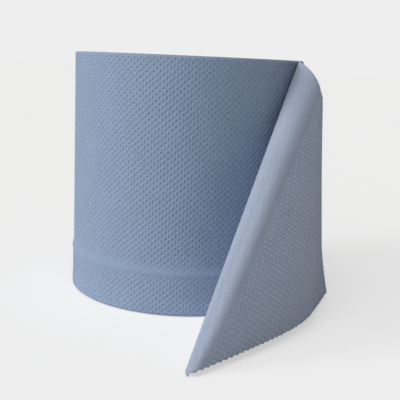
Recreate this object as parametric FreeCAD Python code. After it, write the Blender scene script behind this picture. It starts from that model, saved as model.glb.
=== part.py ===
# Paper towel roll: an embossed two-ply paper web wound on a board tube, standing on its end.
# The loose end of the web is pulled off at the front right and flopped over on itself.
# It hangs from the rim to the floor like a folded corner, and its toothed cut edge lies on the floor.
# Sizes are in millimetres and degrees. +Z is up and the front of the roll faces -Y.
# The origin is the centre of the tube's bore, at the base.

import FreeCAD, Part
import math
import os

from FreeCAD import Vector

# Paper web
WEB_WIDTH = 190.0
WEB_THICKNESS = 0.5

# Wound turns
ROLL_RADIUS = 92.0
BASE_BULGE = 0.9
BASE_BULGE_HEIGHT = 12.0
BASE_ROUNDING = 1.6
RIDGE_HEIGHT = 35.0
RIDGE_RISE = 0.4
RIDGE_REACH = 4.0
RIM_ROUNDING = 0.8

# Bundles of turns that stand back from the upper end face
BUNDLE_PITCH = 30.0
BUNDLE_WIDTH = 14.0
BUNDLE_DEPTH = 0.6
BUNDLE_MARGIN = 16.0

# Board tube that the web is wound on
BORE_RADIUS = 29.0
TUBE_WALL = 1.5

# Where the loose end leaves the roll, measured from the front towards the right
PEEL_AZIMUTH = 62.1
PEEL_SINK = 0.15
TAIL_CLIMB = 0.6

# Soft fold, from the rim down to the floor at the front
FOLD_LEAD = 9.5
FOLD_SLOPE = 48.2
FOLD_RADIUS_AT_RIM = 13.7
FOLD_RADIUS_AT_FLOOR = 3.5
FOLD_TURN = 162.0
FOLD_TURN_AT_CORNER = 97.0
FOLD_STEPS = 15

# Front layer, which hangs from the rim as a fan with a belly
FAN_ANGLE = 54.5
FAN_CENTRE_ABOVE_EDGE = 5.7
HANGING_EDGE_SHORT_BY = 21.3
BELLY_TURN = 30.4
BELLY_LEAN = 1.25
FAN_STEPS = 12
CORNER_FLARE = 7.0
FLARE_START = 0.5
FLARE_SHARE = 0.34

# Teeth left by the cutter
TOOTH_PITCH = 5.0
TOOTH_DEPTH = 1.1
TOOTH_LAND = 0.7

# Worked out from the sizes above
TUBE_RADIUS = BORE_RADIUS + TUBE_WALL
PEEL_DISTANCE = ROLL_RADIUS - PEEL_SINK + WEB_THICKNESS / 2
LAP_AZIMUTH = PEEL_AZIMUTH + math.degrees(math.asin(FOLD_LEAD / ROLL_RADIUS))
HANGING_EDGE = WEB_WIDTH - HANGING_EDGE_SHORT_BY
RULE_SHARES = (0.0, FLARE_START, (1 + FLARE_START) / 2, 1.0)
UP = Vector(0, 0, 1)


def outward(azimuth):
    """Direction from the axis to a place on the roll, measured from the front to the right."""
    angle = math.radians(azimuth)
    return Vector(math.sin(angle), -math.cos(angle), 0)


def turned(vector, axis, degrees):
    return FreeCAD.Rotation(axis, degrees).multVec(vector)


# Wound turns

def spiral_outline(radius, height):
    """One turn of the spiral as two half circles, with the step of the last lap between them."""
    start = outward(LAP_AZIMUTH)
    side = turned(start, UP, 90)
    level = UP * height
    grown = radius + WEB_THICKNESS / 2
    shift = start * (WEB_THICKNESS / 2)
    outer_end = start * (radius + WEB_THICKNESS) + level
    inner_end = start * radius + level
    far = start * -radius + level
    loose_half = Part.Arc(outer_end, shift + side * grown + level, far).toShape()
    tight_half = Part.Arc(far, side * -radius + level, inner_end).toShape()
    lap_step = Part.makeLine(inner_end, outer_end)
    return Part.Wire([loose_half, tight_half, lap_step])


def wound_levels():
    """Height and radius of the roll's side, from the floor to the rim."""
    low = ROLL_RADIUS + BASE_BULGE
    levels = [(0.0, low - BASE_ROUNDING)]
    levels.append((BASE_ROUNDING, low))
    levels.append((BASE_BULGE_HEIGHT, ROLL_RADIUS))
    levels.append((RIDGE_HEIGHT - RIDGE_REACH, ROLL_RADIUS))
    levels.append((RIDGE_HEIGHT, ROLL_RADIUS + RIDGE_RISE))
    levels.append((RIDGE_HEIGHT + RIDGE_REACH, ROLL_RADIUS))
    levels.append((WEB_WIDTH - RIM_ROUNDING, ROLL_RADIUS))
    levels.append((WEB_WIDTH, ROLL_RADIUS - RIM_ROUNDING))
    return levels


def set_back_bundles():
    """Rings cut into the upper end face, where bundles of turns stand back from the others."""
    rings = []
    floor = UP * (WEB_WIDTH - BUNDLE_DEPTH)
    inner = TUBE_RADIUS + BUNDLE_MARGIN
    while inner + BUNDLE_WIDTH < ROLL_RADIUS - BUNDLE_MARGIN:
        disc = Part.makeCylinder(inner + BUNDLE_WIDTH, 2 * BUNDLE_DEPTH, floor)
        rings.append(disc.cut(Part.makeCylinder(inner, 2 * BUNDLE_DEPTH, floor)))
        inner += BUNDLE_PITCH
    return rings


def wound_turns():
    outlines = [spiral_outline(radius, height) for height, radius in wound_levels()]
    body = Part.makeLoft(outlines, True, True)
    hole = Part.makeCylinder(TUBE_RADIUS, WEB_WIDTH)
    return body.cut([hole] + set_back_bundles())


# Loose end: the web is bent about straight rules, so it stays a flat sheet of paper

class Rule:
    """A straight line across the bent web, from its upper edge down to its lower or cut edge."""

    def __init__(self, top, bottom, normal):
        self.top = top
        self.bottom = bottom
        self.normal = normal
        self.flare = Vector()

    def point(self, share):
        curl = max(0.0, (share - FLARE_START) / (1 - FLARE_START)) ** 2
        return self.top + (self.bottom - self.top) * share + self.flare * curl


class Bend:
    """A frame that rolls along the web: a rule's direction, the way ahead and the face's normal."""

    def __init__(self):
        away = outward(PEEL_AZIMUTH)
        level = Vector(away.y, -away.x, 0)
        ahead = turned(level, away, -TAIL_CLIMB)
        down = turned(-UP, away, -TAIL_CLIMB)
        slope = math.radians(FOLD_SLOPE)
        self.place = away * PEEL_DISTANCE - ahead * FOLD_LEAD + UP * WEB_WIDTH
        self.rule = ahead * math.cos(slope) + down * math.sin(slope)
        self.ahead = ahead * math.sin(slope) - down * math.cos(slope)
        self.normal = away
        self.flat_angle = slope
        self.flat_along = -FOLD_LEAD
        self.flat_across = 0.0

    def move(self, distance):
        self.place = self.place + self.ahead * distance
        self.flat_along += math.sin(self.flat_angle) * distance
        self.flat_across -= math.cos(self.flat_angle) * distance

    def step(self, distance, swing, bend):
        """Move ahead over the sheet while its rule swings in the face and the face bends."""
        self.move(distance / 2)
        axis = -(self.normal * swing + self.rule * bend)
        turn = math.degrees(axis.Length)
        self.rule = turned(self.rule, axis, turn)
        self.ahead = turned(self.ahead, axis, turn)
        self.normal = turned(self.normal, axis, turn)
        self.flat_angle -= swing
        self.move(distance / 2)


def fold_rules(bend):
    """Rules over the soft fold. Past the web's corner they end on the cut edge."""
    reach = WEB_WIDTH / math.sin(math.radians(FOLD_SLOPE))
    taper = (FOLD_RADIUS_AT_FLOOR - FOLD_RADIUS_AT_RIM) / reach
    turn = math.radians(FOLD_TURN) / FOLD_STEPS
    corner_step = round(FOLD_STEPS * FOLD_TURN_AT_CORNER / FOLD_TURN)
    rules = []
    cut_line = None
    for number in range(FOLD_STEPS + 1):
        if number:
            bend.step(FOLD_RADIUS_AT_RIM * turn, taper * turn, turn)
        to_upper = -bend.flat_across / math.sin(bend.flat_angle)
        to_lower = (WEB_WIDTH - bend.flat_across) / math.sin(bend.flat_angle)
        if number == corner_step:
            cut_line = bend.flat_along + to_lower * math.cos(bend.flat_angle)
        if number > corner_step:
            to_lower = (cut_line - bend.flat_along) / math.cos(bend.flat_angle)
        top = bend.place + bend.rule * to_upper
        bottom = bend.place + bend.rule * to_lower
        rules.append(Rule(top, bottom, bend.normal))
    return rules, corner_step


def fan_rules(bend, last):
    """Rules over the front layer: they fan out from a centre a little above the upper edge."""
    bend.place = last.top - bend.rule * FAN_CENTRE_ABOVE_EDGE
    near = (last.bottom - last.top).Length + FAN_CENTRE_ABOVE_EDGE
    far = HANGING_EDGE + FAN_CENTRE_ABOVE_EDGE
    fan = math.radians(FAN_ANGLE)
    shares = [(number + 0.5) / FAN_STEPS for number in range(FAN_STEPS)]
    weights = [math.sin(math.pi * share ** BELLY_LEAN) ** 2 for share in shares]
    rules = []
    for number, weight in enumerate(weights):
        belly = math.radians(BELLY_TURN) * weight / sum(weights)
        bend.step(0.0, fan / FAN_STEPS, belly)
        angle = fan * (number + 1) / FAN_STEPS
        reach = near * far * math.sin(fan)
        reach /= near * math.sin(angle) + far * math.sin(fan - angle)
        top = bend.place + bend.rule * FAN_CENTRE_ABOVE_EDGE
        rule = Rule(top, bend.place + bend.rule * reach, bend.normal)
        late = max(0.0, 1 - (1 - angle / fan) / FLARE_SHARE)
        rule.flare = bend.normal * (-CORNER_FLARE * late ** 1.5)
        rules.append(rule)
    return rules


def web_edge(rules, share, side):
    """Smooth line across the rules on one face of the web, half its thickness from the middle."""
    offset = side * WEB_THICKNESS / 2
    points = [rule.point(share) + rule.normal * offset for rule in rules]
    curve = Part.BSplineCurve()
    curve.interpolate(Points=points, Parameters=list(range(len(points))))
    return curve.toShape()


def strips(lines):
    """Faces ruled from each line to the next."""
    return [Part.makeRuledSurface(first, second) for first, second in zip(lines, lines[1:])]


def sheet_end(rule):
    """Faces that close the sheet along a rule."""
    offset = rule.normal * (WEB_THICKNESS / 2)
    points = [rule.point(share) for share in RULE_SHARES]
    lines = [Part.makeLine(point - offset, point + offset) for point in points]
    return strips(lines)


def folded_layer(rules, corner_step):
    """The fold and the front layer, as one thin closed sheet."""
    faces = sheet_end(rules[0]) + sheet_end(rules[-1])
    cuts = [0, 1, corner_step, FOLD_STEPS, len(rules) - 1]
    for begin, end in zip(cuts, cuts[1:]):
        stretch = rules[begin:end + 1]
        outer = [web_edge(stretch, share, 1) for share in RULE_SHARES]
        inner = [web_edge(stretch, share, -1) for share in RULE_SHARES]
        faces += strips(outer) + strips(inner)
        faces += strips([outer[0], inner[0]]) + strips([outer[-1], inner[-1]])
    skin = Part.makeCompound(faces)
    skin.sewShape(0.001)
    solid = Part.makeSolid(skin.Shells[0])
    if solid.Volume < 0:
        solid.reverse()
    return solid


def back_layer(fold_start):
    """The flat stretch between the roll and the fold, hidden behind the front layer."""
    foot = Vector(fold_start.top.x, fold_start.top.y, 0)
    outline = [fold_start.top, fold_start.bottom, foot]
    thickness = fold_start.normal * WEB_THICKNESS
    corners = [corner - thickness / 2 for corner in outline]
    plate = Part.Face(Part.makePolygon(corners + corners[:1]))
    return plate.extrude(thickness)


def tooth_notches(rules):
    """Small wedges that leave a row of teeth along the cut edge."""
    ends = [rule.point(1.0) for rule in rules]
    lengths = [0.0]
    for first, second in zip(ends, ends[1:]):
        lengths.append(lengths[-1] + (second - first).Length)
    notches = []
    count = int(lengths[-1] / TOOTH_PITCH)
    for number in range(1, count):
        place = number * lengths[-1] / count
        index = max(i for i, length in enumerate(lengths) if length <= place)
        share = (place - lengths[index]) / (lengths[index + 1] - lengths[index])
        middle = ends[index] + (ends[index + 1] - ends[index]) * share
        along = (ends[index + 1] - ends[index]).normalize()
        through = rules[index].normal
        up = through.cross(along).normalize()
        if up.z < 0:
            up = -up
        half = (lengths[-1] / count - TOOTH_LAND) / 2
        corners = [middle - along * half, middle + up * TOOTH_DEPTH, middle + along * half]
        corners += [middle + along * half - up, middle - along * half - up]
        wedge = Part.Face(Part.makePolygon([corner - through * 2 for corner in corners + corners[:1]]))
        notches.append(wedge.extrude(through * 4))
    return notches


def loose_end():
    bend = Bend()
    fold, corner_step = fold_rules(bend)
    rules = fold + fan_rules(bend, fold[-1])
    sheet = folded_layer(rules, corner_step)
    sheet = sheet.cut(tooth_notches(rules[corner_step:]))
    return sheet.fuse(back_layer(rules[0]))


# Sub-parts

def towel_web():
    """The whole web, one piece of paper: the wound turns and the loose end that is still part of them."""
    return wound_turns().fuse(loose_end()).removeSplitter()


def core_tube():
    tube = Part.makeCylinder(TUBE_RADIUS, WEB_WIDTH)
    return tube.cut(Part.makeCylinder(BORE_RADIUS, WEB_WIDTH))


def main():
    os.makedirs("parts", exist_ok=True)
    nodes = {"towel_web": towel_web(), "core_tube": core_tube()}
    for name, shape in nodes.items():
        solid = shape.Solids[0] if len(shape.Solids) == 1 else shape
        print(name, "solids", len(shape.Solids), "valid", shape.isValid(), "volume", round(shape.Volume, 1))
        solid.exportStep("parts/" + name + ".step")


main()
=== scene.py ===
# Paper towel roll: the looks of the embossed web, its loose end, the wound ends and the board tube.
# Lengths are in metres and angles in radians. +Z is up and the front of the roll faces -Y.

import math

import bpy
import numpy as np
from bpy.props import FloatProperty, FloatVectorProperty, IntProperty, PointerProperty
from mathutils import Matrix, Quaternion, Vector


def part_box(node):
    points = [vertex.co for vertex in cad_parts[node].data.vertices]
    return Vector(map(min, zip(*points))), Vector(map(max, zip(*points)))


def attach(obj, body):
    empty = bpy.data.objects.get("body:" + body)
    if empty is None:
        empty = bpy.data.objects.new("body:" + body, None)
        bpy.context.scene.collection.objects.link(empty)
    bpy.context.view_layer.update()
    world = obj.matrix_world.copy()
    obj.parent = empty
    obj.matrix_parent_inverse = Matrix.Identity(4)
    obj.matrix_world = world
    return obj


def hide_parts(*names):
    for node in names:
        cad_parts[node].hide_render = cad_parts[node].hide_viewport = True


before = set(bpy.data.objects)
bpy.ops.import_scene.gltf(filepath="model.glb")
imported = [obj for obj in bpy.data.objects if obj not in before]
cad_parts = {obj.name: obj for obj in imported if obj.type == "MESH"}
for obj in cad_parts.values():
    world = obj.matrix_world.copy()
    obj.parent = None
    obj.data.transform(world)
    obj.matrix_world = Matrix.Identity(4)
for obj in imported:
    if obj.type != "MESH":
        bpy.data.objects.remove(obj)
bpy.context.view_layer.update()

bl_info = {
    "name": "Paper towel roll",
    "version": (1, 0, 0),
    "blender": (4, 5, 0),
    "location": "View3D > Sidebar > Towel roll",
    "description": "Makes the embossed paper, the wound ends and the board tube of a towel roll",
    "category": "Object",
}

TUBE_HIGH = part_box("core_tube")[1]
UP = Vector((0, 0, 1))
MILLIMETRES = 1000.0
# Millimetres along and across the flat web, and the embossing's strength, below 0 on the inner side
FLAT_PLACE = "flat_place"
PAPER_FINISH = "embossed_paper"


def length(name, description, default):
    return FloatProperty(name=name, description=description, default=default, unit="LENGTH", precision=5)


def angle(name, description, degrees):
    return FloatProperty(name=name, description=description, default=math.radians(degrees), subtype="ANGLE")


def share(name, description, default):
    return FloatProperty(
        name=name, description=description, default=default, min=0, max=1, subtype="FACTOR")


def amount(name, description, default):
    return FloatProperty(name=name, description=description, default=default, min=0)


def colour(name, description, default):
    return FloatVectorProperty(
        name=name, description=description, default=default, size=3, min=0, max=1, subtype="COLOR")


class WebSizes(bpy.types.PropertyGroup):
    """The wound web, as in the solids."""

    width: length("Web width", "Height of the roll as it stands", TUBE_HIGH.z)
    roll_radius: length("Roll radius", "Radius of the wound turns", 0.092)
    tube_radius: length("Tube radius", "Outer radius of the board tube", TUBE_HIGH.x)
    lap_rise: length("Lap rise", "Step at the last lap", 0.0005)
    lap_lift: length("Lap lift", "How far the last lap lifts before it leaves the roll", 0.00025)
    lap_lift_reach: length("Lap lift reach", "Length of web that lifts", 0.015)
    base_bulge: length("Base bulge", "How far the foot stands out", 0.0009)
    base_bulge_height: length("Bulge height", "Height of the foot that stands out", 0.012)
    base_rounding: length("Base rounding", "Rounding of the lower edge", 0.0016)
    rim_rounding: length("Rim rounding", "Rounding of the upper edge", 0.0008)
    ridge_height: length("Ridge height", "Height of the soft ridge round the roll", 0.035)
    ridge_rise: length("Ridge rise", "How far the ridge stands out", 0.0006)
    ridge_crest: length("Ridge crest", "How far the ridge's lower edge stands out", 0.0005)
    ridge_reach: length("Ridge reach", "Half the ridge's width", 0.003)
    bundle_inside: length("Bundle inside", "Where the bundle of set-back turns starts, from the axis", 0.0465)
    bundle_outside: length("Bundle outside", "Where the bundle of set-back turns ends, from the axis", 0.0605)
    bundle_depth: length("Bundle depth", "How far the bundle stands back in the upper end face", 0.0006)
    bundle_edge: length("Bundle edge", "Width of the bundle's soft edges", 0.0012)
    turn_pitch: length("Turn pitch", "From one wound turn to the next, as the end faces show it", 0.00035)
    strip_width: length("Strip width", "Height of the tube between two rounds of its strip's seam", 0.085)


class EmbossSizes(bpy.types.PropertyGroup):
    """The staggered lattice of round pits."""

    pitch: length("Pitch", "Distance from pit to pit along the web", 0.005)
    rows: IntProperty(name="Rows", description="Pits in a line across the web", default=42, min=1)
    cells: IntProperty(name="Cells", description="Mesh cells from pit to pit", default=4, min=2)
    radius: length("Pit radius", "Radius of a pit", 0.001)
    depth: length("Pit depth", "Depth of a pit", 0.00045)
    edge_fade: length("Edge fade", "Width of the web's edges where the pits fade out", 0.003)
    fold_fade: length("Fold fade", "Width of web over which the pits come back past the fold", 0.008)
    fold_press: share("Fold press", "How strongly the pits show on the fold", 0.15)


class LooseEndSizes(bpy.types.PropertyGroup):
    """The loose end, folded over itself, as in the solids."""

    peel_azimuth: angle("Peel azimuth", "Where the web leaves the roll, from the front", 62.1)
    climb: angle("Climb", "How steeply the loose end rises", 0.6)
    distance: length("Distance", "From the axis to the middle of the hidden layer", 0.0921)
    lead: length("Lead", "How far before the peel line the fold starts", 0.0095)
    slope: angle("Fold slope", "Slope of the fold across the web", 48.2)
    radius_at_rim: length("Radius at rim", "Radius of the fold at the rim", 0.0137)
    radius_at_floor: length("Radius at floor", "Radius of the fold at the floor", 0.0035)
    fold_turn: angle("Fold turn", "How far the fold turns the web back", 162.0)
    corner_turn: angle("Corner turn", "Turn at which the web's corner lies", 97.0)
    fan_angle: angle("Fan angle", "Angle of the front layer at its top", 54.5)
    fan_centre: length("Fan centre", "How far the fan's centre lies above the web's edge", 0.0057)
    hanging_edge: length("Hanging edge", "Length of the edge that hangs from the rim", TUBE_HIGH.z - 0.0213)
    belly: angle("Belly", "How far the front layer turns about its belly", 30.4)
    belly_lean: amount("Belly lean", "Above 1, the belly is nearer the hanging edge", 1.25)
    swell: length("Swell", "How far the front layer swells out where it swells most", 0.00867)
    swell_start: share("Swell start", "Share of the fold's turn where the swell starts", 0.66)
    swell_lead: share("Swell lead", "Share of the swell that lies in the fold", 0.14)
    flare: length("Flare", "How far the hanging corner kicks out", 0.007)
    flare_start: share("Flare start", "Share of the height where the flare starts", 0.5)
    flare_share: share("Flare share", "Share of the fan that flares", 0.34)
    tooth: length("Tooth", "Height of the cutter's teeth", 0.0011)
    tooth_pitch: length("Tooth pitch", "Distance from tooth to tooth", 0.005)
    give_reach: length("Give reach", "Width past the fold over which the paper gives", 0.01)
    thickness: length("Thickness", "Thickness of the paper", 0.0003)


class Colours(bpy.types.PropertyGroup):
    """Colours of the paper and the tube."""

    outer: colour("Outer side", "The web's outer side", (0.27, 0.355, 0.51))
    # Partly the paper's own tone and partly painted light: lighter and greyer than the outer side, for the
    # light on the loose end
    inner: colour("Inner side", "The web's inner side", (0.35, 0.41, 0.535))
    turns: colour("Turns", "The turns' edges in the end faces", (0.28, 0.365, 0.515))
    board: colour("Board", "The tube's board", (0.42, 0.33, 0.23))
    floor: colour("Floor", "Floor", (0.95, 0.95, 0.95))
    floor_glow: colour("Floor glow", "Tone that softens the floor's shadows", (0.985, 0.985, 0.985))
    backdrop: colour("Backdrop", "Backdrop", (0.855, 0.855, 0.855))


class StageSizes(bpy.types.PropertyGroup):
    """Camera, lamps and floor."""

    camera_distance: length("Camera distance", "From the roll's axis to the camera", 0.5852)
    camera_height: length("Camera height", "Height of the camera", 0.1859)
    camera_pitch: angle("Camera pitch", "How far the camera looks down", 11.14)
    camera_yaw: angle("Camera yaw", "How far the camera looks to the right", 1.31)
    camera_roll: angle("Camera roll", "How far the picture leans", 2.52)
    camera_lens: FloatProperty(
        name="Camera lens", description="Focal length on 36 mm", default=63.0, unit="CAMERA")
    key_azimuth: angle("Key azimuth", "Side that the main light comes from", -75)
    key_elevation: angle("Key elevation", "Height of the main light", 20)
    key_spread: angle("Key spread", "How wide the main light is", 24)
    key_strength: amount("Key strength", "Main light", 1.6)
    front_azimuth: angle("Front azimuth", "Side that the soft light comes from", -28)
    front_elevation: angle("Front elevation", "Height of the soft light", 35)
    front_spread: angle("Front spread", "How wide the soft light is", 60)
    front_strength: amount("Front strength", "Soft light", 0.5)
    top_azimuth: angle("Top azimuth", "Side that the light overhead leans to", -30)
    top_elevation: angle("Top elevation", "Height of the light overhead", 75)
    top_spread: angle("Top spread", "How wide the light overhead is", 35)
    top_strength: amount("Top strength", "Light overhead", 1.1)
    top_tint: colour("Top tint", "Tint of the light overhead", (1.0, 0.985, 0.96))
    world_strength: amount("World strength", "Light from all round", 0.10)
    floor_width: length("Floor width", "Width of the floor", 30.0)
    floor_gap: length("Floor gap", "How far the floor lies below the roll's base", 0.0003)
    shadow_share: share("Shadow share", "How strongly the floor shows shadows", 0.45)


class TowelRoll(bpy.types.PropertyGroup):
    """All the settings of the roll."""

    web: PointerProperty(type=WebSizes, name="Web", description="The wound web")
    emboss: PointerProperty(type=EmbossSizes, name="Embossing", description="The pits")
    loose: PointerProperty(type=LooseEndSizes, name="Loose end", description="The loose end")
    colours: PointerProperty(type=Colours, name="Colours", description="Colours")
    stage: PointerProperty(type=StageSizes, name="Stage", description="Camera, lamps and floor")


# Directions and smooth steps

def outward(azimuth):
    """Directions from the axis to places on the roll, measured from the front to the right."""
    return np.stack([np.sin(azimuth), -np.cos(azimuth), np.zeros_like(azimuth)], axis=-1)


def turned(vector, axis, turn):
    """A direction turned about an axis."""
    return Quaternion(axis, turn) @ vector


def smooth(value):
    """A soft step from 0 to 1 as the value goes from 0 to 1."""
    value = np.clip(value, 0, 1)
    return value * value * (3 - 2 * value)


# Meshes

def add_mesh(name, points, faces, flat_places=None):
    """A smooth-shaded object in the scene. Its points keep their flat places, where these are given."""
    mesh = bpy.data.meshes.new(name)
    mesh.from_pydata([tuple(point) for point in points], [], faces)
    mesh.polygons.foreach_set("use_smooth", [True] * len(mesh.polygons))
    if flat_places is not None:
        layer = mesh.attributes.new(FLAT_PLACE, "FLOAT_VECTOR", "POINT")
        layer.data.foreach_set("vector", np.asarray(flat_places, np.float32).ravel())
    mesh.update()
    piece = bpy.data.objects.new(name, mesh)
    bpy.context.scene.collection.objects.link(piece)
    return piece


def ring_faces(columns, rows):
    """Faces of a grid that closes on itself both ways, as round a tube."""
    faces = []
    for column in range(columns):
        here = column * rows
        ahead = (column + 1) % columns * rows
        for row in range(rows):
            below = (row + 1) % rows
            faces.append((here + row, ahead + row, ahead + below, here + below))
    return faces


def dress_as_web(piece, finish):
    """Give a piece its finish and let it stand for the web in the frame."""
    piece.data.materials.append(finish)
    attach(piece, "root")
    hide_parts("towel_web")


# Embossing

def pit(along, across, emboss, width):
    """How deep the paper is pressed in at places on the flat web, from 0 to 1."""
    pitch_across = width / emboss.rows
    deepest = np.zeros(np.broadcast(along, across).shape)
    for shift in (0.0, 0.5):
        a = along / emboss.pitch - shift
        b = across / pitch_across - shift
        off_along = (a - np.round(a)) * emboss.pitch
        off_across = (b - np.round(b)) * pitch_across
        deepest = np.maximum(deepest, np.exp(-(off_along ** 2 + off_across ** 2) / emboss.radius ** 2))
    return deepest


# Wound turns

def rounded_off(distance, radius):
    """How far a quarter-round edge steps back, by the distance from its end."""
    near_end = np.clip(1 - distance / radius, 0, 1)
    return radius * (1 - np.sqrt(1 - near_end ** 2))


def side_profile(height, web):
    """How far the roll's side stands out from its plain radius, by height."""
    bulge = (web.base_bulge - web.ridge_rise) * smooth(2 * (1 - height / web.base_bulge_height))
    ridge = web.ridge_rise * smooth((web.ridge_height + web.ridge_reach - height) / (2 * web.ridge_reach))
    from_crest = (height - web.ridge_height + web.ridge_reach) / (0.7 * web.ridge_reach)
    crest = web.ridge_crest * np.exp(-from_crest ** 2)
    foot = rounded_off(height, web.base_rounding)
    rim = rounded_off(web.width - height, web.rim_rounding)
    return bulge + ridge + crest - foot - rim


# How deep the side reaches into the roll, and how much the ridge flattens its pits
SIDE_DEPTH = 0.003
RIDGE_CALM = 0.75


def side_press(height, towel):
    """How strongly the embossing shows, by height: less at the web's edges and on the ridge."""
    web = towel.web
    from_ridge = (height - web.ridge_height + web.ridge_reach / 2) / (2 * web.ridge_reach)
    from_edge = np.minimum(height, web.width - height)
    return (1 - RIDGE_CALM * np.exp(-from_ridge ** 2)) * smooth(from_edge / towel.emboss.edge_fade)


def make_wound_side(towel, finish):
    """The outermost turn, from the floor to the rim, with its pits and the step of the last lap."""
    web, emboss, loose = towel.web, towel.emboss, towel.loose
    column_step = emboss.pitch / emboss.cells
    first = math.ceil(-loose.lead / column_step) * column_step
    turn_length = 2 * math.pi * web.roll_radius
    columns = int(turn_length / column_step)
    along = first - column_step * np.arange(columns)
    rows = emboss.rows * emboss.cells
    across = np.linspace(0, web.width, rows + 1)
    height = web.width - across
    wound = (first - along) / turn_length
    lift = web.lap_lift * np.exp(-(first - along) / web.lap_lift_reach)
    radius = web.roll_radius + web.lap_rise * (1 - wound) + lift
    pits = pit(along[:, None], across[None, :], emboss, web.width)
    press = side_press(height, towel)
    reach = radius[:, None] + side_profile(height, web)[None, :] - emboss.depth * pits * press[None, :]
    back = np.full((columns, 2), web.roll_radius - SIDE_DEPTH)
    reach = np.concatenate([reach, back], axis=1)
    level = np.concatenate([height, [0.0, web.width]])
    azimuth = loose.peel_azimuth - along / web.roll_radius
    points = outward(azimuth)[:, None, :] * reach[:, :, None]
    points[:, :, 2] = level
    flat = np.zeros_like(points)
    flat[:, :, 0] = along[:, None] * MILLIMETRES
    flat[:, :, 1] = (web.width - level)[None, :] * MILLIMETRES
    flat[:, :rows + 1, 2] = press
    faces = ring_faces(columns, len(level))
    piece = add_mesh("wound_side", points.reshape(-1, 3), faces, flat.reshape(-1, 3))
    dress_as_web(piece, finish)


# The end faces reach under the side, and their turns stand back unevenly
END_OVERLAP = 0.0029
END_INSET = 0.00015
TURN_RAGGED = 0.00007
TURN_WANDER = 0.00008
END_THICKNESS = 0.004
END_COLUMNS = 240
END_RINGS = 78


def make_turn_ends(towel, finish):
    """The edges of all the turns, seen in the roll's two end faces."""
    web = towel.web
    draw = np.random.default_rng(7)
    radii = np.linspace(web.tube_radius, web.roll_radius - END_OVERLAP, END_RINGS)
    azimuth = np.linspace(0, 2 * math.pi, END_COLUMNS, endpoint=False)
    bundle = smooth((radii - web.bundle_inside) / web.bundle_edge)
    bundle *= smooth((web.bundle_outside - radii) / web.bundle_edge)
    points, faces = [], []
    for upper in (True, False):
        ragged = draw.normal(0, TURN_RAGGED, END_RINGS)
        wander = TURN_WANDER * np.sin(azimuth[:, None] * 2 + radii[None, :] * 140 + draw.uniform(0, 6))
        sunk = web.bundle_depth * bundle if upper else 0.0
        inset = END_INSET + np.abs(ragged[None, :] + wander) + sunk
        face_level = web.width - inset if upper else inset
        back_level = web.width - END_THICKNESS if upper else END_THICKNESS
        reach = np.tile(np.append(radii, radii[[-1, 0]]), (END_COLUMNS, 1))
        level = np.concatenate([face_level, np.full((END_COLUMNS, 2), back_level)], axis=1)
        ring = outward(azimuth)[:, None, :] * reach[:, :, None]
        ring[:, :, 2] = level
        start = len(points)
        points.extend(ring.reshape(-1, 3))
        for face in ring_faces(END_COLUMNS, END_RINGS + 2):
            corners = tuple(start + corner for corner in face)
            faces.append(corners if upper else corners[::-1])
    piece = add_mesh("turn_ends", points, faces)
    dress_as_web(piece, finish)


# Loose end: the flat web is bent about straight rules

class Rule:
    """A straight line across the bent web, known both on the flat web and in its bent place."""

    def __init__(self, bend, top, bottom, flare=0.0):
        self.flat_point = bend.flat_point.copy()
        self.flat_angle = bend.flat_angle
        self.place = bend.place.copy()
        self.direction = bend.direction.copy()
        self.ahead = bend.ahead.copy()
        self.normal = bend.normal.copy()
        self.top = top
        self.bottom = bottom
        self.flare = flare


class Bend:
    """A frame that rolls along the web: a rule's direction, the way ahead and the face's normal."""

    def __init__(self, loose, web):
        away = Vector((math.sin(loose.peel_azimuth), -math.cos(loose.peel_azimuth), 0))
        level = Vector((away.y, -away.x, 0))
        ahead = turned(level, away, -loose.climb)
        down = turned(-UP, away, -loose.climb)
        self.place = away * loose.distance - ahead * loose.lead + UP * web.width
        self.direction = ahead * math.cos(loose.slope) + down * math.sin(loose.slope)
        self.ahead = ahead * math.sin(loose.slope) - down * math.cos(loose.slope)
        self.normal = away
        self.flat_angle = loose.slope
        self.flat_point = Vector((-loose.lead, 0.0))

    def move(self, distance):
        self.place = self.place + self.ahead * distance
        flat_ahead = Vector((math.sin(self.flat_angle), -math.cos(self.flat_angle)))
        self.flat_point = self.flat_point + distance * flat_ahead

    def step(self, distance, swing, bend):
        """Move ahead over the sheet while its rule swings in the face and the face bends."""
        self.move(distance / 2)
        axis = -(self.normal * swing + self.direction * bend)
        turn = axis.length
        self.direction = turned(self.direction, axis, turn)
        self.ahead = turned(self.ahead, axis, turn)
        self.normal = turned(self.normal, axis, turn)
        self.flat_angle -= swing
        self.move(distance / 2)


# Steps from rule to rule over the fold and over the front layer
FOLD_STEPS = 64
FAN_STEPS = 96


def fold_rules(bend, loose, web):
    """Rules over the soft fold. Past the web's corner they end on the cut edge."""
    reach = web.width / math.sin(loose.slope)
    taper = (loose.radius_at_floor - loose.radius_at_rim) / reach
    turn = loose.fold_turn / FOLD_STEPS
    corner_step = round(FOLD_STEPS * loose.corner_turn / loose.fold_turn)
    rules = []
    cut_line = None
    for number in range(FOLD_STEPS + 1):
        if number:
            bend.step(loose.radius_at_rim * turn, taper * turn, turn)
        top = -bend.flat_point.y / math.sin(bend.flat_angle)
        bottom = (web.width - bend.flat_point.y) / math.sin(bend.flat_angle)
        if number == corner_step:
            cut_line = bend.flat_point.x + bottom * math.cos(bend.flat_angle)
        if number > corner_step:
            bottom = (cut_line - bend.flat_point.x) / math.cos(bend.flat_angle)
        rules.append(Rule(bend, top, bottom))
    return rules, cut_line


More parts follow.
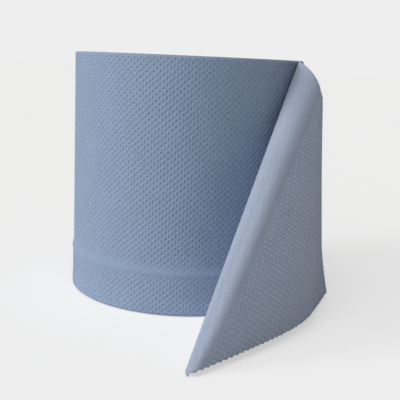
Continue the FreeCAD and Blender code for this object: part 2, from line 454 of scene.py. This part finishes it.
def fan_rules(bend, last, loose):
    """Rules over the front layer: they fan out from a centre a little above the upper edge."""
    shift = last.top - loose.fan_centre
    flat_down = Vector((math.cos(bend.flat_angle), math.sin(bend.flat_angle)))
    bend.place = bend.place + bend.direction * shift
    bend.flat_point = bend.flat_point + shift * flat_down
    near = last.bottom - last.top + loose.fan_centre
    far = loose.hanging_edge + loose.fan_centre
    shares = (np.arange(FAN_STEPS) + 0.5) / FAN_STEPS
    weights = np.sin(math.pi * shares ** loose.belly_lean) ** 2
    rules = []
    for number, weight in enumerate(weights / weights.sum()):
        bend.step(0.0, loose.fan_angle / FAN_STEPS, loose.belly * float(weight))
        swept = loose.fan_angle * (number + 1) / FAN_STEPS
        reach = near * far * math.sin(loose.fan_angle)
        reach /= near * math.sin(swept) + far * math.sin(loose.fan_angle - swept)
        late = max(0.0, 1 - (1 - swept / loose.fan_angle) / loose.flare_share)
        rules.append(Rule(bend, loose.fan_centre, reach, -loose.flare * late ** 1.5))
    return rules


# Share of the swell that the cut edge takes away
CUT_EDGE_HOLD = 0.8


def swell_down(down):
    """How the swell grows down the front layer, until the cut edge holds most of it."""
    return down ** 1.5 * (1 - CUT_EDGE_HOLD * down ** 6)


def swell_across(across):
    """How the swell grows from the fold and fades to the hanging edge."""
    return np.sin(math.pi * across) * (1 - across / 2)


class BentWeb:
    """Finds where places on the flat web lie once it is bent."""

    def __init__(self, rules, loose):
        self.loose = loose
        self.flat = np.array([rule.flat_point for rule in rules])
        angles = np.array([rule.flat_angle for rule in rules])
        self.along_rule = np.stack([np.cos(angles), np.sin(angles)], axis=1)
        self.across_rule = np.stack([np.sin(angles), -np.cos(angles)], axis=1)
        self.place = np.array([rule.place for rule in rules])
        self.direction = np.array([rule.direction for rule in rules])
        self.ahead = np.array([rule.ahead for rule in rules])
        self.normal = np.array([rule.normal for rule in rules])
        self.top = np.array([rule.top for rule in rules])
        self.bottom = np.array([rule.bottom for rule in rules])
        self.flare = np.array([rule.flare for rule in rules])
        shares = np.linspace(0, 1, 1001)
        self.most_swell = swell_down(shares).max() * swell_across(shares).max()

    def passed(self, flat, number):
        """How far places lie ahead of a rule."""
        return ((flat - self.flat[number]) * self.across_rule[number]).sum(axis=1)

    def on_rule(self, flat, number):
        """Where places lie if they go with the given rule, with the flare of the corner."""
        distance = ((flat - self.flat[number]) * self.along_rule[number]).sum(axis=1)
        part = (distance - self.top[number]) / (self.bottom[number] - self.top[number])
        curl = np.clip((part - self.loose.flare_start) / (1 - self.loose.flare_start), 0, None) ** 2
        point = self.place[number] + self.direction[number] * distance[:, None]
        return point + self.normal[number] * (self.flare[number] * curl)[:, None]

    def swelling(self, flat, number, part):
        """How far the soft front layer stands out from its straight rules."""
        start = self.loose.swell_start * FOLD_STEPS
        lead = self.loose.swell_lead
        fold_share = np.clip((number + part - start) / (FOLD_STEPS - start), 0, 1)
        fan_share = np.clip((number + part - FOLD_STEPS) / FAN_STEPS, 0, 1)
        distance = ((flat - self.flat[number]) * self.along_rule[number]).sum(axis=1)
        down = np.clip(distance / self.bottom[number], 0, 1)
        across = lead * fold_share + (1 - lead) * fan_share
        return self.loose.swell * swell_down(down) * swell_across(across) / self.most_swell

    def bent(self, flat):
        """Places and normals of the bent web, blended between the rules on both sides of each place."""
        ahead_of = np.stack([self.passed(flat, np.full(len(flat), k)) for k in range(len(self.flat))])
        number = np.clip((ahead_of >= 0).sum(axis=0) - 1, 0, len(self.flat) - 2)
        picked = np.arange(len(flat))
        here = ahead_of[number, picked]
        there = ahead_of[number + 1, picked]
        part = np.clip(here / np.maximum(here - there, 1e-12), 0, 1)[:, None]
        point = self.on_rule(flat, number) * (1 - part) + self.on_rule(flat, number + 1) * part
        normal = self.normal[number] * (1 - part) + self.normal[number + 1] * part
        before = ahead_of[0] < 0
        flat_part = self.on_rule(flat, np.zeros(len(flat), int)) + self.ahead[0] * ahead_of[0][:, None]
        point -= normal * self.swelling(flat, number, part[:, 0])[:, None]
        point[before] = flat_part[before]
        normal[before] = self.normal[0]
        return point, normal / np.linalg.norm(normal, axis=1, keepdims=True)


# Least room, in cells, between the lattice and the sheet's two ends
FIRST_GAP = 0.3
LAST_GAP = 0.4


class LooseEnd:
    """The loose end's mesh, laid out on the same lattice as the embossing."""

    def __init__(self, towel):
        self.web, self.emboss, self.loose = towel.web, towel.emboss, towel.loose
        bend = Bend(self.loose, self.web)
        fold, self.cut_line = fold_rules(bend, self.loose, self.web)
        fan = fan_rules(bend, fold[-1], self.loose)
        self.shape = BentWeb(fold + fan, self.loose)
        self.last_fold = len(fold) - 1
        self.centre = np.array(fan[-1].flat_point)
        self.near = self.flat_end(fold[-1])
        self.far = self.flat_end(fan[-1])
        self.hang_angle = fan[-1].flat_angle
        self.step = self.emboss.pitch / self.emboss.cells
        self.rows = self.emboss.rows * self.emboss.cells
        self.levels = np.linspace(0, self.web.width, self.rows + 1)

    def flat_end(self, rule):
        """Where a rule ends on the flat web's cut edge."""
        way = np.array([math.cos(rule.flat_angle), math.sin(rule.flat_angle)])
        return np.array(rule.flat_point) + way * rule.bottom

    def spread(self, flat):
        """Past the fold the paper gives a little, so its upper edge meets the hanging edge."""
        past = self.shape.passed(flat, np.full(len(flat), self.last_fold))
        hanging = self.centre[1] + np.maximum(flat[:, 0] - self.centre[0], 0) * math.tan(self.hang_angle)
        given = smooth(past / self.loose.give_reach) * np.clip(1 - flat[:, 1] / self.web.width, 0, 1)
        return flat + np.stack([np.zeros(len(flat)), hanging * given], axis=1)

    def press(self, flat):
        """How strongly the embossing shows: it is stretched flat over the fold."""
        past = self.shape.passed(flat, np.full(len(flat), self.last_fold))
        before = self.shape.passed(flat, np.zeros(len(flat), int))
        shown = np.maximum(smooth(past / self.emboss.fold_fade), before < 0)
        return self.emboss.fold_press + (1 - self.emboss.fold_press) * shown

    def cut_at(self, level):
        """Where the cut edge crosses a row of the lattice."""
        moved = level + self.centre[1] * (1 - level / self.web.width)
        slant = (self.near[0] - self.far[0]) / (self.near[1] - self.far[1])
        return self.near[0] + (moved - self.near[1]) * slant if moved < self.near[1] else self.cut_line

    def toothed_edge(self):
        """Levels and places of the cut edge's points, with its teeth."""
        half_teeth = 2 * round(self.web.width / self.loose.tooth_pitch)
        spots = np.linspace(0, self.web.width, half_teeth + 1)
        levels = self.levels.copy()
        reach = np.array([self.cut_at(level) for level in levels])
        depth = np.abs(((levels / self.web.width * half_teeth / 2) % 1) * 2 - 1)
        for number, spot in enumerate(spots[1:-1], start=1):
            row = int(round(spot / self.web.width * self.rows))
            levels[row] = spot
            reach[row] = self.cut_at(spot)
            depth[row] = 1.0 if number % 2 == 0 else 0.0
        return levels, reach - self.loose.tooth * (1 - depth)

    def lay_out(self):
        """Places on the flat web row by row, and the polygons between them."""
        edge_levels, edge_reach = self.toothed_edge()
        places, rows = [], []
        for level, edge_level, reach in zip(self.levels, edge_levels, edge_reach):
            first = math.ceil(-self.loose.lead / self.step + FIRST_GAP)
            last = math.floor(reach / self.step - LAST_GAP)
            start = len(places)
            places.append((-self.loose.lead, level))
            places.extend((column * self.step, level) for column in range(first, last + 1))
            places.append((reach, edge_level))
            rows.append(range(start, len(places)))
        polygons = []
        for upper, lower in zip(rows, rows[1:]):
            shared = min(len(upper), len(lower)) - 2
            for column in range(shared):
                polygons.append((upper[column], lower[column], lower[column + 1], upper[column + 1]))
            polygons.append(tuple(lower[shared:]) + tuple(upper[shared:])[::-1])
        border = [row[0] for row in rows] + list(rows[-1][1:])
        border += [row[-1] for row in reversed(rows[:-1])] + list(rows[0][1:-1])[::-1]
        return np.array(places), polygons, border


def make_loose_end(towel, finish):
    """The loose end, a thin closed sheet with pits on one side and bumps on the other."""
    sheet = LooseEnd(towel)
    places, polygons, border = sheet.lay_out()
    middle, normal = sheet.shape.bent(sheet.spread(places))
    press = sheet.press(places)
    pits = pit(places[:, 0], places[:, 1], towel.emboss, towel.web.width) * press
    middle = middle - normal * (towel.emboss.depth * pits)[:, None]
    half = normal * (towel.loose.thickness / 2)
    points = np.concatenate([middle + half, middle - half])
    count = len(places)
    faces = [tuple(reversed(polygon)) for polygon in polygons]
    faces += [tuple(corner + count for corner in polygon) for polygon in polygons]
    for first, second in zip(border, border[1:] + border[:1]):
        faces.append((first, second, second + count, first + count))
    flat = np.zeros((2 * count, 3))
    flat[:, :2] = np.concatenate([places, places]) * MILLIMETRES
    flat[:, 2] = np.concatenate([press, -press])
    piece = add_mesh("loose_end", points, faces, flat)
    dress_as_web(piece, finish)
    flat_size = (towel.web.width, sheet.far[0] + towel.loose.lead)
    area = sum_area(places, polygons)


def sum_area(places, polygons):
    """Area of flat polygons, by the shoelace rule."""
    total = 0.0
    for polygon in polygons:
        corners = places[list(polygon)]
        ahead = np.roll(corners, -1, axis=0)
        total += abs(float((corners[:, 0] * ahead[:, 1] - corners[:, 1] * ahead[:, 0]).sum())) / 2
    return total


# Finishes

class Signal:
    """A socket's value in a sum: each operator adds the Math node that it stands for."""

    def __init__(self, finish, socket):
        self.finish = finish
        self.socket = socket

    def __add__(self, other):
        return self.finish.maths("ADD", self, other)

    def __sub__(self, other):
        return self.finish.maths("SUBTRACT", self, other)

    def __rsub__(self, other):
        return self.finish.maths("SUBTRACT", other, self)

    def __mul__(self, other):
        return self.finish.maths("MULTIPLY", self, other)

    def __truediv__(self, other):
        return self.finish.maths("DIVIDE", self, other)

    def __rtruediv__(self, other):
        return self.finish.maths("DIVIDE", other, self)

    __radd__ = __add__
    __rmul__ = __mul__


class Finish:
    """Nodes of a material or a world. One method makes any node, its settings first."""

    def __init__(self, owner):
        self.owner = owner
        owner.use_nodes = True
        self.tree = owner.node_tree
        self.tree.nodes.clear()

    def node(self, kind, settings=None, inputs=None, output=0):
        made = self.tree.nodes.new(kind)
        for name, value in (settings or {}).items():
            setattr(made, name, value)
        for name, value in (inputs or {}).items():
            if isinstance(value, Signal):
                self.tree.links.new(value.socket, made.inputs[name])
            else:
                made.inputs[name].default_value = value
        return Signal(self, made.outputs[output]) if made.outputs else None

    def maths(self, operation, *values):
        return self.node("ShaderNodeMath", {"operation": operation}, dict(enumerate(values)))

    def parts(self, vector):
        """A vector's three numbers."""
        return [self.node("ShaderNodeSeparateXYZ", None, {"Vector": vector}, output=axis) for axis in "XYZ"]

    def noise(self, vector, scale, detail=3.0, roughness=0.5):
        inputs = {"Vector": vector, "Scale": scale, "Detail": detail, "Roughness": roughness}
        return self.node("ShaderNodeTexNoise", None, inputs, output="Fac")

    def mapped(self, vector, scale):
        return self.node("ShaderNodeMapping", None, {"Vector": vector, "Scale": scale})

    def mix(self, factor, first, second, blend="MIX"):
        settings = {"data_type": "RGBA", "blend_type": blend}
        return self.node("ShaderNodeMix", settings, {"Factor": factor, 6: first, 7: second}, output=2)

    def toned(self, base, tone):
        """A colour made lighter or darker by a tone that is 1 where it stays as it is."""
        grey = self.node("ShaderNodeCombineXYZ", None, {"X": tone, "Y": tone, "Z": tone})
        return self.mix(1.0, base, grey, "MULTIPLY")

    def bump(self, height, strength=1.0):
        """Relief from a height in millimetres."""
        inputs = {"Height": height, "Distance": 1 / MILLIMETRES, "Strength": strength}
        return self.node("ShaderNodeBump", None, inputs)

    def surface(self, **inputs):
        named = {name.replace("_", " "): value for name, value in inputs.items()}
        shader = self.node("ShaderNodeBsdfPrincipled", None, named)
        self.node("ShaderNodeOutputMaterial", None, {"Surface": shader})
        return self.owner


def opaque(rgb):
    return (*rgb, 1.0)


# How quickly a pit's painted highlight and its relief fade from its middle
PIT_FADE = 1.7


def paper_pits(finish, along, across, towel):
    """Round pits of the embossing, 1 at a pit's middle and 0 between pits."""
    pitch = towel.emboss.pitch * MILLIMETRES
    pitch_across = towel.web.width * MILLIMETRES / towel.emboss.rows
    nearest = None
    for shift in (0.0, 0.5):
        a = along / pitch - shift
        b = across / pitch_across - shift
        off_along = (a - finish.maths("ROUND", a)) * pitch
        off_across = (b - finish.maths("ROUND", b)) * pitch_across
        far = off_along * off_along + off_across * off_across
        nearest = far if nearest is None else finish.maths("MINIMUM", nearest, far)
    radius = towel.emboss.radius * MILLIMETRES
    return finish.maths("EXPONENT", nearest * (-PIT_FADE / radius ** 2))


def paper_finish(towel):
    """Soft crepe paper, pressed in a staggered lattice, with a painted highlight in each pit and on each
    bump. It is a little greyer and lighter on its inner side, partly its own tone and partly painted light.
    """
    if PAPER_FINISH in bpy.data.materials:
        return bpy.data.materials[PAPER_FINISH]
    finish = Finish(bpy.data.materials.new(PAPER_FINISH))
    place = finish.node("ShaderNodeAttribute", {"attribute_name": FLAT_PLACE}, output="Vector")
    along, across, press = finish.parts(place)
    inner = finish.maths("LESS_THAN", press, 0.0)
    pits = paper_pits(finish, along, across, towel)
    crepe = finish.noise(finish.mapped(place, (2.2, 0.5, 1.0)), 1.0, 4.0, 0.6)
    fibres = finish.noise(place, 3.5, 3.0, 0.65)
    clouds = finish.noise(place, 0.035, 3.0, 0.5)
    # The inner side's colour is partly its own tone and partly painted light, lighter and greyer for the
    # light on the loose end
    base = finish.mix(inner, opaque(towel.colours.outer), opaque(towel.colours.inner))
    # Painted highlight: pits on the outer side and bumps on the inner side are made lighter, as where light
    # catches them
    painted_highlight = pits * finish.maths("ABSOLUTE", press) * (0.24 + inner * 0.30)
    # Random clouds and fibres of the paper, plus the painted highlight
    tone = 0.86 + clouds * 0.12 + fibres * 0.08 + painted_highlight
    height = crepe * 0.16 + fibres * 0.08 - pits * press * 0.9
    return finish.surface(Base_Color=finish.toned(base, tone), Roughness=0.92, Specular_IOR_Level=0.25,
                          Sheen_Weight=0.15, Sheen_Roughness=0.6, Normal=finish.bump(height))


def turns_finish(towel):
    """Edges of several hundred thin turns, seen end on."""
    finish = Finish(bpy.data.materials.new("turn_edges"))
    place = finish.node("ShaderNodeNewGeometry", output="Position")
    x, y, z = finish.parts(place)
    radius = finish.maths("SQRT", x * x + y * y) * MILLIMETRES
    azimuth = finish.maths("ARCTAN2", y, x)
    wound = radius + azimuth * (towel.web.turn_pitch * MILLIMETRES / (2 * math.pi))
    bundle = finish.node("ShaderNodeTexNoise", {"noise_dimensions": "1D"},
                         {"W": wound, "Scale": 1.6, "Detail": 5.0, "Roughness": 0.7}, output="Fac")
    ragged = finish.noise(place, 700.0, 3.0, 0.6)
    tone = 0.74 + bundle * 0.36 + ragged * 0.10
    tinted = finish.toned(opaque(towel.colours.turns), tone)
    normal = finish.bump(bundle * 0.8 + ragged * 0.25, 0.7)
    return finish.surface(Base_Color=tinted, Roughness=0.95, Specular_IOR_Level=0.2, Normal=normal)


def board_finish(towel):
    """Grey-brown board, wound from a strip whose seams run round the tube."""
    finish = Finish(bpy.data.materials.new("tube_board"))
    place = finish.node("ShaderNodeNewGeometry", output="Position")
    x, y, z = finish.parts(place)
    azimuth = finish.maths("ARCTAN2", y, x) / (2 * math.pi)
    strip = finish.maths("FRACT", z / towel.web.strip_width + azimuth)
    seam = finish.maths("EXPONENT", finish.maths("ABSOLUTE", strip - 0.5) * -90.0)
    fibres = finish.noise(finish.mapped(place, (600.0, 600.0, 1500.0)), 1.0, 4.0, 0.6)
    blotches = finish.noise(place, 60.0, 3.0, 0.5)
    tone = 0.82 + fibres * 0.18 + blotches * 0.16 - seam * 0.30
    tinted = finish.toned(opaque(towel.colours.board), tone)
    normal = finish.bump(fibres * 0.12 - seam * 0.5, 0.7)
    return finish.surface(Base_Color=tinted, Roughness=0.85, Specular_IOR_Level=0.3, Normal=normal)


# Stage

def camera_axes(stage):
    """The camera's right, up and forward directions."""
    pitch, yaw, roll = stage.camera_pitch, stage.camera_yaw, stage.camera_roll
    forward = Vector((math.sin(yaw) * math.cos(pitch), math.cos(yaw) * math.cos(pitch), -math.sin(pitch)))
    right = Vector((math.cos(yaw), -math.sin(yaw), 0))
    above = right.cross(forward)
    leaning_right = right * math.cos(roll) + above * math.sin(roll)
    leaning_above = above * math.cos(roll) - right * math.sin(roll)
    return leaning_right, leaning_above, forward


def add_camera(stage):
    data = bpy.data.cameras.new("camera")
    data.lens = stage.camera_lens
    data.sensor_width = 36.0
    camera = bpy.data.objects.new("camera", data)
    right, above, forward = camera_axes(stage)
    turn = Matrix((right, above, -forward)).transposed().to_4x4()
    camera.matrix_world = Matrix.Translation((0, -stage.camera_distance, stage.camera_height)) @ turn
    bpy.context.scene.collection.objects.link(camera)
    bpy.context.scene.camera = camera


def add_sun(name, azimuth, elevation, strength, spread, tint=(1, 1, 1)):
    """A distant light. Its azimuth is measured from the front to the right."""
    data = bpy.data.lights.new(name, "SUN")
    data.energy = strength
    data.angle = spread
    data.color = tint
    sun = bpy.data.objects.new(name, data)
    level = math.cos(elevation)
    towards = Vector((math.sin(azimuth) * level, -math.cos(azimuth) * level, math.sin(elevation)))
    sun.rotation_mode = "QUATERNION"
    sun.rotation_quaternion = towards.to_track_quat("Z", "Y")
    bpy.context.scene.collection.objects.link(sun)


def seen_directly(finish):
    """1 for what the camera sees directly, in a mirror or through glass."""
    rays = [finish.node("ShaderNodeLightPath", output=name)
            for name in ("Is Camera Ray", "Is Glossy Ray", "Is Transmission Ray")]
    return finish.maths("MAXIMUM", finish.maths("MAXIMUM", rays[0], rays[1]), rays[2])


def floor_finish(towel):
    """Pale floor that meets the backdrop's tone, with a softened shadow."""
    finish = Finish(bpy.data.materials.new("floor"))
    plain = finish.node("ShaderNodeBsdfDiffuse", None, {"Color": opaque(towel.colours.floor)})
    glow_colour = opaque(towel.colours.floor_glow)
    glow = finish.node("ShaderNodeEmission", None, {"Color": glow_colour, "Strength": 1.0})
    share_of_glow = seen_directly(finish) * (1 - towel.stage.shadow_share)
    shown = finish.node("ShaderNodeMixShader", None, {"Fac": share_of_glow, 1: plain, 2: glow})
    finish.node("ShaderNodeOutputMaterial", None, {"Surface": shown})
    return finish.owner


def set_world(towel):
    """Soft light from all round, and the pale backdrop that the camera sees."""
    finish = Finish(bpy.data.worlds.new("studio"))
    bpy.context.scene.world = finish.owner
    strength = towel.stage.world_strength
    light = finish.node("ShaderNodeBackground", None, {"Color": (1.0, 1.0, 1.0, 1.0), "Strength": strength})
    backdrop = opaque(towel.colours.backdrop)
    pale = finish.node("ShaderNodeBackground", None, {"Color": backdrop, "Strength": 1.0})
    shown = finish.node("ShaderNodeMixShader", None, {"Fac": seen_directly(finish), 1: light, 2: pale})
    finish.node("ShaderNodeOutputWorld", None, {"Surface": shown})


# Operators

class TOWEL_OT_wound_side(bpy.types.Operator):
    """Make the roll's embossed side"""

    bl_idname = "towel.wound_side"
    bl_label = "Wound side"

    def execute(self, context):
        make_wound_side(context.scene.towel_roll, paper_finish(context.scene.towel_roll))
        return {"FINISHED"}


class TOWEL_OT_turn_ends(bpy.types.Operator):
    """Make the two end faces of the wound turns"""

    bl_idname = "towel.turn_ends"
    bl_label = "Turn ends"

    def execute(self, context):
        make_turn_ends(context.scene.towel_roll, turns_finish(context.scene.towel_roll))
        return {"FINISHED"}


class TOWEL_OT_loose_end(bpy.types.Operator):
    """Make the loose end, folded over itself"""

    bl_idname = "towel.loose_end"
    bl_label = "Loose end"

    def execute(self, context):
        make_loose_end(context.scene.towel_roll, paper_finish(context.scene.towel_roll))
        return {"FINISHED"}


class TOWEL_OT_core_tube(bpy.types.Operator):
    """Give the board tube its finish"""

    bl_idname = "towel.core_tube"
    bl_label = "Board tube"

    def execute(self, context):
        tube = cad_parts["core_tube"]
        tube.data.materials.clear()
        tube.data.materials.append(board_finish(context.scene.towel_roll))
        return {"FINISHED"}


class TOWEL_OT_stage(bpy.types.Operator):
    """Set up the floor, the light and the camera"""

    bl_idname = "towel.stage"
    bl_label = "Stage"

    def execute(self, context):
        towel = context.scene.towel_roll
        stage = towel.stage
        half = stage.floor_width / 2
        corners = [(x * half, y * half, -stage.floor_gap) for x, y in ((-1, -1), (1, -1), (1, 1), (-1, 1))]
        floor = add_mesh("floor", corners, [(0, 1, 2, 3)])
        floor.data.materials.append(floor_finish(towel))
        add_sun("key", stage.key_azimuth, stage.key_elevation, stage.key_strength, stage.key_spread)
        add_sun("front", stage.front_azimuth, stage.front_elevation, stage.front_strength, stage.front_spread)
        add_sun("top", stage.top_azimuth, stage.top_elevation, stage.top_strength, stage.top_spread,
                stage.top_tint)
        set_world(towel)
        add_camera(stage)
        context.scene.view_settings.view_transform = "Standard"
        return {"FINISHED"}


class TOWEL_PT_panel(bpy.types.Panel):
    """Lists the steps that make the roll"""

    bl_label = "Towel roll"
    bl_idname = "TOWEL_PT_panel"
    bl_space_type = "VIEW_3D"
    bl_region_type = "UI"
    bl_category = "Towel roll"

    def draw(self, context):
        for step in STEPS:
            self.layout.operator(step.bl_idname)


GROUPS = (WebSizes, EmbossSizes, LooseEndSizes, Colours, StageSizes, TowelRoll)
STEPS = (TOWEL_OT_stage, TOWEL_OT_wound_side, TOWEL_OT_turn_ends, TOWEL_OT_loose_end, TOWEL_OT_core_tube)


def register():
    for group in GROUPS + STEPS + (TOWEL_PT_panel,):
        bpy.utils.register_class(group)
    bpy.types.Scene.towel_roll = PointerProperty(type=TowelRoll)


def unregister():
    del bpy.types.Scene.towel_roll
    for group in reversed(GROUPS + STEPS + (TOWEL_PT_panel,)):
        bpy.utils.unregister_class(group)


def main():
    register()
    bpy.ops.towel.stage()
    bpy.ops.towel.wound_side()
    bpy.ops.towel.turn_ends()
    bpy.ops.towel.loose_end()
    bpy.ops.towel.core_tube()


if __name__ == "__main__":
    main()
